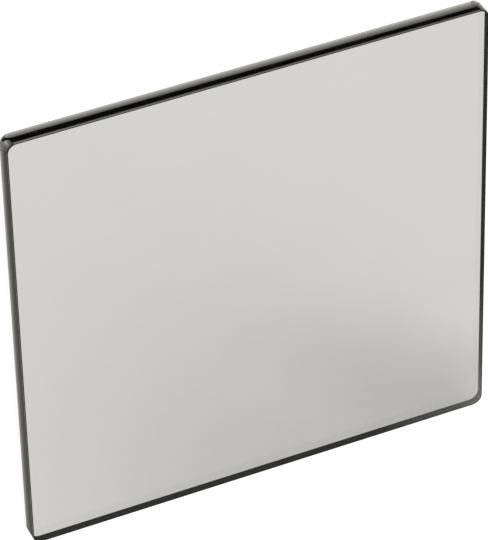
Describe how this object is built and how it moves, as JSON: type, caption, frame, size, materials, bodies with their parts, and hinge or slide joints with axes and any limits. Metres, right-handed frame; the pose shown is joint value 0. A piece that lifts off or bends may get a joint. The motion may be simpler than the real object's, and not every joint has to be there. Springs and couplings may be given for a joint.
{
  "type": "square polarizing filter",
  "caption": "Flat square camera filter: a grey polarizing film laminated between clear glass plates, with rounded corners and a black lacquered edge.",
  "frame": {"origin": "middle of the rear glass face, which the filter lies on", "axes": "+Z is the optical axis, out through the front glass face; +X and +Y run along the sides, with +Y towards the side that is uppermost in the picture"},
  "size_m": [0.1016, 0.1016, 0.0037],
  "materials": {
    "clear_glass": "polished",
    "optical_cement": "clear",
    "polarizing_film": "smooth",
    "black_lacquer": "gloss"
  },
  "bodies": {
    "root": {"rear_glass": "clear_glass", "rear_cement": "optical_cement", "polarizing_film": "polarizing_film", "front_cement": "optical_cement", "front_glass": "clear_glass", "edge_seal": "black_lacquer"}
  },
  "joints": []
}
